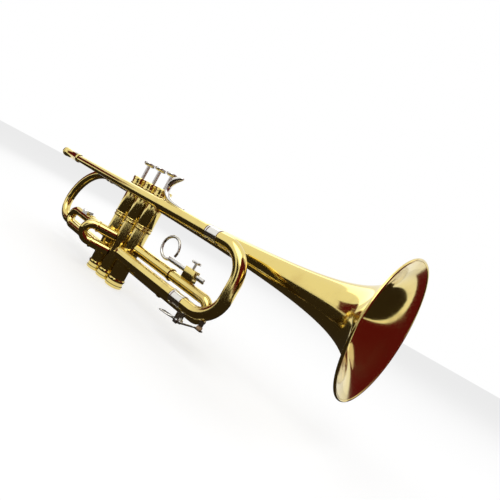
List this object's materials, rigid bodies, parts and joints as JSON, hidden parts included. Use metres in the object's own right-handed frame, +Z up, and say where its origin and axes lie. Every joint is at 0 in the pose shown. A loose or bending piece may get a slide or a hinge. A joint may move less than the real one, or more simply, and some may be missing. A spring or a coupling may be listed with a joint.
{
  "type": "three-valve trumpet",
  "caption": "Brass trumpet with piston valves, pull slides, finger hook, adjustable finger ring and a sprung water key.",
  "frame": {"origin": "on the axis of the second valve, 45 mm below the leadpipe's axis, where the left hand holds the valve block", "axes": "+X forward to the bell along the leadpipe, +Y to the player's left, +Z up along the valves"},
  "size_m": [0.484, 0.1238, 0.1729],
  "materials": {
    "lacquered_brass": "polished and lacquered",
    "nickel_silver": "polished nickel silver",
    "valve_metal": "lapped nickel-copper alloy",
    "spring_steel": "drawn wire",
    "pearl": "polished shell discs",
    "felt": "pressed felt",
    "cork": "cut cork"
  },
  "bodies": {
    "root": {"bell": "lacquered_brass", "bell_flare": "lacquered_brass", "bell_bow": "lacquered_brass", "bell_brace_front": "lacquered_brass", "bell_brace_rear": "lacquered_brass", "mouthpiece_receiver": "lacquered_brass", "leadpipe": "lacquered_brass", "upper_slide_sleeve": "lacquered_brass", "lower_slide_sleeve": "lacquered_brass", "valve_casing_1": "lacquered_brass", "valve_casing_2": "lacquered_brass", "valve_casing_3": "lacquered_brass", "top_cap_1": "lacquered_brass", "top_cap_2": "lacquered_brass", "top_cap_3": "lacquered_brass", "bottom_cap_1": "lacquered_brass", "bottom_cap_2": "lacquered_brass", "bottom_cap_3": "lacquered_brass", "first_slide_sleeve_upper": "lacquered_brass", "first_slide_sleeve_lower": "lacquered_brass", "second_slide_sleeve_upper": "lacquered_brass", "second_slide_sleeve_lower": "lacquered_brass", "third_slide_sleeve_upper": "lacquered_brass", "third_slide_sleeve_lower": "lacquered_brass", "finger_hook": "nickel_silver", "valve_guide_1": "valve_metal", "valve_guide_2": "valve_metal", "valve_guide_3": "valve_metal", "valve_spring_1": "spring_steel", "valve_spring_2": "spring_steel", "valve_spring_3": "spring_steel"},
    "valve_1": {"piston_1": "valve_metal", "valve_stem_1": "nickel_silver", "valve_felt_1": "felt", "finger_button_1": "nickel_silver", "button_pearl_1": "pearl"},
    "valve_2": {"piston_2": "valve_metal", "valve_stem_2": "nickel_silver", "valve_felt_2": "felt", "finger_button_2": "nickel_silver", "button_pearl_2": "pearl"},
    "valve_3": {"piston_3": "valve_metal", "valve_stem_3": "nickel_silver", "valve_felt_3": "felt", "finger_button_3": "nickel_silver", "button_pearl_3": "pearl"},
    "tuning_slide": {"tuning_slide_bow": "lacquered_brass", "tuning_slide_leg_upper": "nickel_silver", "tuning_slide_leg_lower": "nickel_silver", "water_key_saddle": "nickel_silver", "water_key_screw": "spring_steel", "water_key_spring": "spring_steel"},
    "water_key": {"water_key_lever": "nickel_silver", "water_key_cork": "cork"},
    "first_valve_slide": {"first_slide": "lacquered_brass", "first_slide_thumb_saddle": "nickel_silver"},
    "second_valve_slide": {"second_slide": "lacquered_brass"},
    "third_valve_slide": {"third_slide": "lacquered_brass"},
    "finger_ring": {"third_slide_finger_ring": "nickel_silver"},
    "clamp_screw": {"ring_clamp_screw": "nickel_silver"}
  },
  "joints": [
    {"name": "valve_press_1", "type": "slide", "parent": "root", "child": "valve_1", "axis": [0, 0, -1], "range_m": [0, 0.0165], "stiffness_N_per_m": 150, "springref_m": -0.012, "deforming": ["valve_spring_1"]},
    {"name": "valve_press_2", "type": "slide", "parent": "root", "child": "valve_2", "axis": [0, 0, -1], "range_m": [0, 0.0165], "stiffness_N_per_m": 150, "springref_m": -0.012, "deforming": ["valve_spring_2"]},
    {"name": "valve_press_3", "type": "slide", "parent": "root", "child": "valve_3", "axis": [0, 0, -1], "range_m": [0, 0.0165], "stiffness_N_per_m": 150, "springref_m": -0.012, "deforming": ["valve_spring_3"]},
    {"name": "tuning_slide_pull", "type": "slide", "parent": "root", "child": "tuning_slide", "axis": [1, 0, 0], "range_m": [0, 0.035]},
    {"name": "first_slide_pull", "type": "slide", "parent": "root", "child": "first_valve_slide", "axis": [-1, 0, 0], "range_m": [0, 0.022]},
    {"name": "second_slide_pull", "type": "slide", "parent": "root", "child": "second_valve_slide", "axis": [-0.6691, -0.7431, 0], "range_m": [0, 0.012]},
    {"name": "third_slide_pull", "type": "slide", "parent": "root", "child": "third_valve_slide", "axis": [1, 0, 0], "range_m": [0, 0.025]},
    {"name": "finger_ring_shift", "type": "slide", "parent": "third_valve_slide", "child": "finger_ring", "axis": [1, 0, 0], "range_m": [-0.008, 0.008]},
    {"name": "clamp_screw_turn", "type": "hinge", "parent": "third_valve_slide", "child": "clamp_screw", "pos_m": [0.1196, 0, -0.0015], "axis": [0, 0, 1], "range_deg": [0, 360]},
    {"name": "water_key_press", "type": "hinge", "parent": "tuning_slide", "child": "water_key", "pos_m": [0.149, -0.0201, -0.0425], "axis": [0, 1, 0], "range_deg": [0, 12], "stiffness_Nm_per_rad": 0.05, "springref_deg": -28.65}
  ]
}
